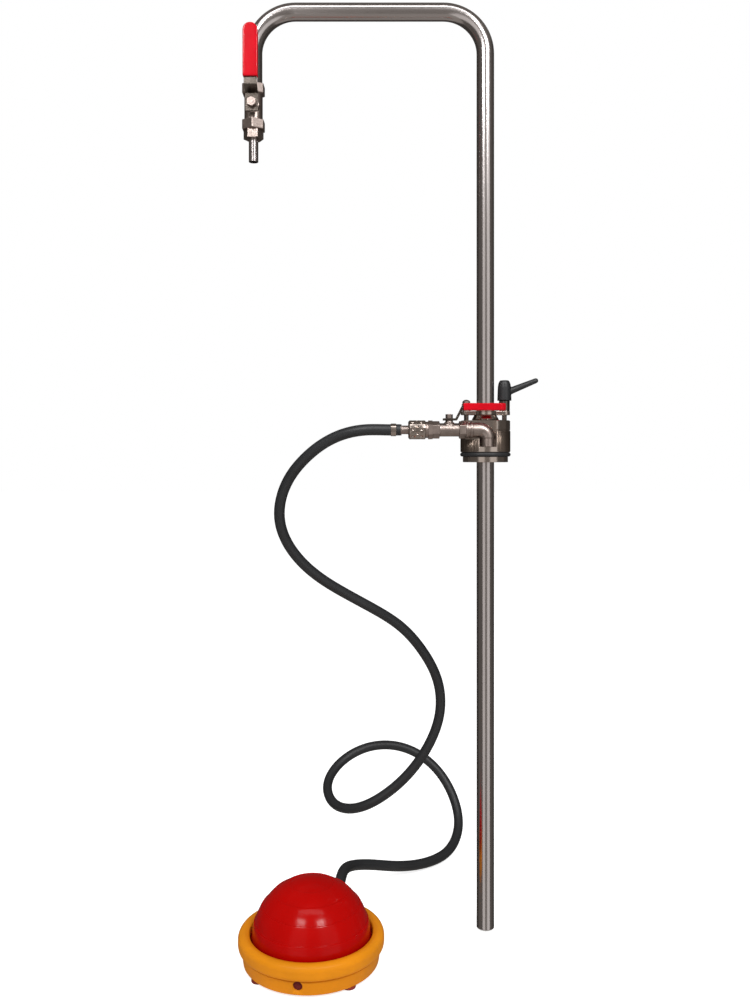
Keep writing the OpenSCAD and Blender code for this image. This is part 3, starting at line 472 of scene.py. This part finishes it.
class PUMP_OT_stage(bpy.types.Operator):
    """Sets the camera, the floor, the world and the lamps"""

    bl_idname = "pump.stage"
    bl_label = "Stage"

    def execute(self, context):
        scene = context.scene
        scene.view_settings.view_transform = "Standard"
        data = bpy.data.cameras.new("camera")
        data.sensor_fit = "VERTICAL"
        data.sensor_height = 36.0
        data.lens = 34.2
        data.shift_y = -0.045
        data.clip_start = 0.01
        data.clip_end = 100.0
        eye = bpy.data.objects.new("camera", data)
        eye.location = (-0.139, -1.197, 0.002)
        eye.rotation_euler = (math.pi / 2, 0, 0)
        scene.collection.objects.link(eye)
        scene.camera = eye

        world = bpy.data.worlds.new("studio")
        scene.world = world
        world.use_nodes = True
        tree = world.node_tree
        tree.nodes.clear()
        soft = add(tree, "Background", {"Color": (1, 1, 1, 1), "Strength": 0.4})
        white = add(tree, "Background", {"Color": (1, 1, 1, 1), "Strength": 1.0})
        mix = seen_white(tree, soft.outputs[0])
        tree.links.new(white.outputs[0], mix.inputs[2])
        add(tree, "OutputWorld", {"Surface": mix.outputs[0]})

        bm = bmesh.new()
        bmesh.ops.create_grid(bm, x_segments=1, y_segments=1, size=14.0,
                              matrix=Matrix.Translation((0, 0, -0.5942)))
        floor = piece("floor", bm)
        paper = bpy.data.materials.new("white_paper")
        paper.use_nodes = True
        tree = paper.node_tree
        tree.nodes.clear()
        matt = add(tree, "BsdfDiffuse", {"Color": (0.84, 0.84, 0.84, 1)})
        glow = add(tree, "Emission", {"Color": (1, 1, 1, 1), "Strength": 0.74})
        both = add(tree, "AddShader", {0: matt.outputs[0], 1: glow.outputs[0]})
        mix = seen_white(tree, matt.outputs[0])
        tree.links.new(both.outputs[0], mix.inputs[2])
        add(tree, "OutputMaterial", {"Surface": mix.outputs[0]})
        floor.data.materials.append(paper)
        # Polished steel mirrors the cards alone
        floor.visible_glossy = False

        # Reflector cards all round: start and end bearing from the camera's side, and brightness
        cards = [card(*row) for row in (
            (-180, -104, 0.05), (-104, -41, 0.11), (-41, -10, 0.66), (-10, 17, 0.2),
            (17, 54, 0.72), (54, 104, 0.1), (104, 180, 0.05))]
        for name, height, shade in (("card_over", card_top, 0.14), ("card_under", -card_top, 0.3)):
            bm = bmesh.new()
            bmesh.ops.create_circle(bm, cap_ends=True, segments=48, radius=card_reach,
                                    matrix=Matrix.Translation((0, 0, height)))
            cards.append(reflector(piece(name, bm), shade))

        lamp("soft_left", (-1.05, -1.85, 1.5), (-0.1, 0, -0.2), 0.7, 0.4, 21.0)
        lamp("soft_right", (0.8, -1.85, 1.5), (-0.1, 0, -0.2), 0.7, 0.4, 26.0)
        lamp("soft_top", (-0.14, -1.2, 2.1), (-0.14, 0, 0.1), 2.4, 0.5, 13.0)
        return {"FINISHED"}


# The pieces

# In millimetres. A scratch program fitted these points to the hose in the photo: apart from the
# second and third point and one height they were not chosen by hand.
hose_route = [
    (-107.5, -25, 33), (-124, -25, 33), (-150, -25, 33), (-191, -13, 23), (-228, 2, -3),
    (-253, 19, -36), (-263, 37, -80), (-252, 55, -118), (-223, 73, -154), (-184, 92, -183),
    (-142, 110, -209), (-102, 127, -238), (-72, 141, -274), (-50, 151, -319), (-47, 158, -368),
    (-63, 162, -414), (-91, 165, -455), (-125, 168, -486), (-161, 176, -507), (-197, 205, -514),
    (-211, 246, -499), (-194, 281, -478), (-162, 298, -462), (-119, 307, -457), (-78, 309, -468),
    (-41, 303, -495), (-19, 287, -527), (-11, 260, -560), (-22, 225, -580), (-47, 189, -586),
    (-82, 161, -584), (-114, 139, -576), (-145, 118, -565), (-168, 95, -556), (-182, 57, -550)]
pump_centre = Vector((-0.214, -0.076, -0.594))
port_turn, port_climb = math.radians(75), math.radians(25)
port_way = Vector((math.cos(port_climb) * math.cos(port_turn),
                   math.cos(port_climb) * math.sin(port_turn), math.sin(port_climb)))
port_tip = pump_centre + Vector((0.1024 * math.cos(port_turn), 0.1024 * math.sin(port_turn),
                                 0.034))


class PUMP_OT_hose(bpy.types.Operator):
    """Lays the air hose along its route"""

    bl_idname = "pump.hose"
    bl_label = "Hose"

    def execute(self, context):
        size = context.scene.pump_sizes.hose
        points = [Vector(p) / 1000 for p in hose_route] + [port_tip]
        line = smooth_line(points, Vector((-1, 0, 0)), -port_way, 7)
        hose = swept("hose_piece", line, size / 2, 20, first=Vector((-1, 0, 0)), last=-port_way)
        skin = finish("hose_rubber", context.scene.pump_colours.rubber, 0.46, cloud=(24.0, 0.25),
                      grain=(60.0, 0.18), stretch=(18.0, 1.0, 1.0), uv=True)
        stand_for(hose, "hose", material=skin)
        return {"FINISHED"}


class PUMP_OT_riser(bpy.types.Operator):
    """Bends the riser tube and adds the spout"""

    bl_idname = "pump.riser"
    bl_label = "Riser"

    def execute(self, context):
        sizes = context.scene.pump_sizes
        # Bend radius, height of the level arm and its reach, all on the tube's middle line. The
        # rings close to both ends keep the smoothed rim from spoiling the tube's reflections
        bend, top, reach = 0.053, 0.56, 0.292
        path = [Vector((0, 0, z)) for z in (-0.592, -0.5912, -0.4, -0.2, 0.0, 0.2, 0.4)]
        path += [Vector((-bend + bend * math.cos(a), 0, top - bend + bend * math.sin(a)))
                 for a in (math.pi / 2 * i / 20 for i in range(21))]
        path += [Vector((bend - reach + bend * math.cos(a), 0, top - bend + bend * math.sin(a)))
                 for a in (math.pi / 2 * (1 + i / 20) for i in range(21))]
        path += [Vector((-reach, 0, 0.4593)), Vector((-reach, 0, 0.4585))]
        tube = swept("riser_piece", path, sizes.tube / 2, 64, capped=False)
        wall = tube.modifiers.new("wall", "SOLIDIFY")
        wall.thickness = sizes.wall
        wall.offset = -1.0
        metal = finish("tube_polish", context.scene.pump_colours.tube, 0.19, 1.0, (5.0, 0.06),
                       (220.0, 0.04), stretch=(0.04, 1.0, 1.0), uv=True, spread=0.05)
        stand_for(tube, "riser_tube", material=metal)
        eased("spout", 0.0002)
        eased("spout_adaptor", 0.0005)
        return {"FINISHED"}


class PUMP_OT_outlet_valve(bpy.types.Operator):
    """Shapes the outlet valve, its lever and its grip"""

    bl_idname = "pump.outlet_valve"
    bl_label = "Outlet Valve"

    def execute(self, context):
        cast("outlet_valve_body", 0.00055, 5)
        eased("outlet_lever", 0.0004)
        cast("outlet_grip", 0.0005, 40)
        eased("outlet_lever_nut")
        eased("outlet_stem", 0.0003)
        paint("outlet_valve_seats", "outlet_ball")
        return {"FINISHED"}


class PUMP_OT_air_valve(bpy.types.Operator):
    """Shapes the air valve, its lever and its grip"""

    bl_idname = "pump.air_valve"
    bl_label = "Air Valve"

    def execute(self, context):
        cast("air_valve_body", 0.0004, 6)
        eased("air_lever", 0.0004)
        cast("air_grip", 0.00045, 40)
        eased("air_lever_nut")
        eased("air_stem", 0.0003)
        paint("air_valve_seats", "air_ball")
        return {"FINISHED"}


def fluted_band(name, start, end, low, high, radius, depth, count):
    """A band of upright flutes round the plug, between two angles in degrees."""
    bm = bmesh.new()
    steps = max(2, round((end - start) / 360 * count) * 4)
    points = []
    for i in range(steps + 1):
        angle = math.radians(start + (end - start) * i / steps)
        r = radius + depth * (0.0, 0.7, 1.0, 0.7)[i % 4] - depth * 0.35
        points.append(bm.verts.new((r * math.cos(angle), r * math.sin(angle), low)))
    edges = [bm.edges.new(pair) for pair in zip(points, points[1:])]
    inner = (radius - 2 * depth) / radius
    # The wall of the band, then its chamfered top edge
    for shift, share in ((high - low - 0.001, 1.0), (0.0005, inner)):
        grown = bmesh.ops.extrude_edge_only(bm, edges=edges)["geom"]
        ring = [g for g in grown if isinstance(g, bmesh.types.BMVert)]
        edges = [g for g in grown if isinstance(g, bmesh.types.BMEdge)
                 and g.verts[0] in ring and g.verts[1] in ring]
        bmesh.ops.translate(bm, verts=ring, vec=(0, 0, shift))
        bmesh.ops.scale(bm, verts=ring, vec=(share, share, 1.0))
    bmesh.ops.recalc_face_normals(bm, faces=bm.faces)
    made = piece(name, bm, 60.0)
    face = made.data.polygons[0]
    if face.normal.dot(face.center) < 0:
        made.data.flip_normals()
    return made


class PUMP_OT_plug(bpy.types.Operator):
    """Turns the bung plug with its flutes, spigot and seal"""

    bl_idname = "pump.plug"
    bl_label = "Plug"

    def execute(self, context):
        sizes = context.scene.pump_sizes
        eased("plug_body", 0.0005)
        # Heights of the flutes' foot, their top, and their top under the elbow
        low, band, shelf = 0.0065, 0.0323, 0.0219
        # The flutes get a darker copy of the plug's steel: painted shade of the grooves between
        # them
        shaded_knurl = finish("knurl_painted_shade", linear("#85766b"), 0.3, 1.0, (50.0, 0.15),
                         (600.0, 0.1))
        for name, start, end, top in (("flutes_round", -69.0, 208.0, band),
                                      ("flutes_left", 210.0, 249.0, shelf)):
            flutes = fluted_band(name, start, end, low, top, 0.031, sizes.flute_depth,
                                 sizes.flutes)
            flutes.data.materials.append(shaded_knurl)
            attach(flutes, "head")
        eased("spigot_disc", 0.0006)
        ring = [(0.029 + 0.0026 * math.cos(a), 0.0026 + 0.0026 * math.sin(a))
                for a in (math.tau * i / 24 for i in range(24))]
        stand_for(turned("bung_seal_piece", ring), "bung_seal")
        paint("spigot_screws", "gland_bush", "gland_packing")
        return {"FINISHED"}


def coil(name, centre, radius, low, high, turns, wire, sides=10, per_turn=28):
    """A spring's wire wound upwards between two heights."""
    count = turns * per_turn
    path = []
    for i in range(count + 1):
        turn = math.tau * i / per_turn
        path.append(centre + Vector((radius * math.cos(turn), radius * math.sin(turn),
                                     low + (high - low) * i / count)))
    return swept(name, path, wire / 2, sides)


class PUMP_OT_clamp(bpy.types.Operator):
    """Shapes the gland clamp: collar, yoke, rods, nut and handle"""

    bl_idname = "pump.clamp"
    bl_label = "Clamp"

    def execute(self, context):
        for name in ("gland_collar", "yoke_plate", "stop_nut", "clamp_insert", "clamp_screw"):
            eased(name, 0.0005)
        eased("draw_rods", 0.0003)
        cast("clamp_handle", 0.00045, 6)
        spring = coil("clamp_spring_piece", Vector((0.024, 0, 0)), 0.0029, 0.0834, 0.0890, 5,
                      0.0008)
        stand_for(spring, "clamp_spring")
        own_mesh(spring)
        return {"FINISHED"}


class PUMP_OT_branch(bpy.types.Operator):
    """Shapes the air elbow and its union"""

    bl_idname = "pump.branch"
    bl_label = "Air Branch"

    def execute(self, context):
        cast("air_elbow", 0.0004, 5)
        eased("air_union", 0.0005)
        return {"FINISHED"}


class PUMP_OT_coupler(bpy.types.Operator):
    """Shapes the quick coupler, the hose tail and its clamp band"""

    bl_idname = "pump.coupler"
    bl_label = "Coupler"

    def execute(self, context):
        eased("coupler_body", 0.0005)
        low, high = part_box("coupler_sleeve")
        middle = (low + high) / 2
        radius = (high.z - low.z) / 2
        # Three staggered rows of dimples round the sleeve
        bm = bmesh.new()
        for row, x in enumerate((0.0052, 0.0104, 0.0156)):
            for i in range(8):
                angle = math.tau * (i + 0.5 * (row % 2)) / 8
                centre = Vector((low.x + x, middle.y + (radius + 0.0014) * math.cos(angle),
                                 middle.z + (radius + 0.0014) * math.sin(angle)))
                bmesh.ops.create_icosphere(bm, subdivisions=3, radius=0.0024,
                                           matrix=Matrix.Translation(centre))
        dimples = piece("dimples", bm)
        sleeve = carved(piece("coupler_sleeve_piece", copy_of("coupler_sleeve"), 30.0), dimples)
        bevel = sleeve.modifiers.new("edges", "BEVEL")
        bevel.width = 0.0003
        bevel.segments = 2
        bevel.limit_method = "ANGLE"
        bevel.angle_limit = math.radians(32)
        stand_for(sleeve, "coupler_sleeve")
        eased("hose_tail", 0.0003)
        eased("hose_clamp", 0.0002)
        paint("coupler_spring")
        return {"FINISHED"}


class PUMP_OT_foot_pump(bpy.types.Operator):
    """Moulds the foot pump's base with its port, feet and intake"""

    bl_idname = "pump.foot_pump"
    bl_label = "Foot Pump"

    def execute(self, context):
        # The base's section as radius and height in millimetres
        mm = [(76.5, 3), (79.5, 3), (82, 18.4), (81.2, 19.2), (81.2, 20), (85.2, 21.4), (86, 24.4),
              (86, 32), (84.5, 35.6), (81.2, 37.76), (77.6, 38), (72.6, 35.9), (71.8, 32),
              (71.8, 27), (0, 27), (0, 24), (76.5, 24)]
        profile = [(r / 1000, z / 1000) for r, z in mm]
        base = turned("pump_base_piece", profile, Matrix.Translation(pump_centre), steps=128,
                      rounding=((0.0007, (0, 1, 2, 4, 5, 12)), (0.0014, (6, 7, 8, 9, 10, 11))))
        bm = bmesh.new()
        turn = math.radians(-97)
        intake = (Matrix.Translation(pump_centre) @ Matrix.Rotation(turn, 4, "Z")
                  @ Matrix.Translation((0.081, 0, 0.014)) @ Matrix.Rotation(math.pi / 2, 4, "Y"))
        bmesh.ops.create_cone(bm, cap_ends=True, segments=40, radius1=0.0055, radius2=0.0055,
                              depth=0.014, matrix=intake)
        port = (Matrix.Translation(port_tip) @ Matrix.Rotation(port_turn, 4, "Z")
                @ Matrix.Rotation(math.pi / 2 - port_climb, 4, "Y")
                @ Matrix.Translation((0, 0, -0.027)))
        bmesh.ops.create_cone(bm, cap_ends=True, segments=40, radius1=0.0055, radius2=0.0055,
                              depth=0.056, matrix=port)
        carved(base, piece("holes", bm))
        stand_for(base, "pump_base")
        eased("hose_port", 0.0005)
        eased("base_feet", 0.0007)
        paint("base_plate", "intake_filter", "base_screws", "outlet_cup", "outlet_flap",
              "outlet_pin", "inlet_flap", "inlet_pin", "spring_seat")
        return {"FINISHED"}


class PUMP_OT_dome(bpy.types.Operator):
    """Moulds the red dome and winds the return spring inside it"""

    bl_idname = "pump.dome"
    bl_label = "Dome"

    def execute(self, context):
        # The moulding's steps: degrees up from the foot at which each ring starts
        angles = (0.0, 16.0, 33.0, 50.0, 67.0, 90.0)
        foot, height, radius = 30.0, 70.0, 70.0
        points = [(67.0, 27.0), (71.5, 27.0), (71.5, 29.2)]
        steps = []
        for i in range(5):
            share = 1 - 0.014 * i
            for k in range(13):
                a = math.radians(angles[i] + (angles[i + 1] - angles[i]) * k / 12)
                if k == 0 or k == 12:
                    steps.append(len(points))
                points.append((max(0.0, radius * math.cos(a) * share),
                               foot + height * math.sin(a) * share))
        for k in range(25):
            a = math.radians(90 - 90 * k / 24)
            points.append((max(0.0, 67.0 * math.cos(a)), foot + 64.0 * math.sin(a)))
        profile = [(r / 1000, z / 1000) for r, z in points]
        dome = turned("dome_piece", profile, Matrix.Translation(pump_centre), steps=128,
                      rounding=((0.0005, steps[1:-1]), (0.0008, (1, 2))), sharp=40.0)
        stand_for(dome, "dome")
        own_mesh(dome)
        turns = context.scene.pump_sizes.spring_turns
        spring = coil("return_spring_piece", pump_centre, 0.02, 0.0284, 0.0832, turns, 0.0026)
        stand_for(spring, "return_spring")
        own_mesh(spring)
        return {"FINISHED"}


class PUMP_PT_panel(bpy.types.Panel):
    """Lists the pump's sizes, colours and pieces"""

    bl_idname = "PUMP_PT_panel"
    bl_label = "Drum Pump"
    bl_space_type = "VIEW_3D"
    bl_region_type = "UI"
    bl_category = "Drum Pump"

    def draw(self, context):
        for group in (context.scene.pump_sizes, context.scene.pump_colours):
            for name in group.bl_rna.properties.keys():
                if name not in ("rna_type", "name"):
                    self.layout.prop(group, name)
        for operator in operators:
            self.layout.operator(operator.bl_idname)


operators = (PUMP_OT_stage, PUMP_OT_hose, PUMP_OT_riser, PUMP_OT_outlet_valve, PUMP_OT_air_valve,
             PUMP_OT_plug, PUMP_OT_clamp, PUMP_OT_branch, PUMP_OT_coupler, PUMP_OT_foot_pump,
             PUMP_OT_dome)
classes = (PumpColours, PumpSizes, *operators, PUMP_PT_panel)


def register():
    for one in classes:
        bpy.utils.register_class(one)
    bpy.types.Scene.pump_colours = PointerProperty(type=PumpColours)
    bpy.types.Scene.pump_sizes = PointerProperty(type=PumpSizes)


def unregister():
    del bpy.types.Scene.pump_sizes
    del bpy.types.Scene.pump_colours
    for one in reversed(classes):
        bpy.utils.unregister_class(one)


def main():
    register()
    bpy.ops.pump.stage()
    bpy.ops.pump.hose()
    bpy.ops.pump.riser()
    bpy.ops.pump.outlet_valve()
    bpy.ops.pump.air_valve()
    bpy.ops.pump.plug()
    bpy.ops.pump.clamp()
    bpy.ops.pump.branch()
    bpy.ops.pump.coupler()
    bpy.ops.pump.foot_pump()
    bpy.ops.pump.dome()


if __name__ == "__main__":
    main()
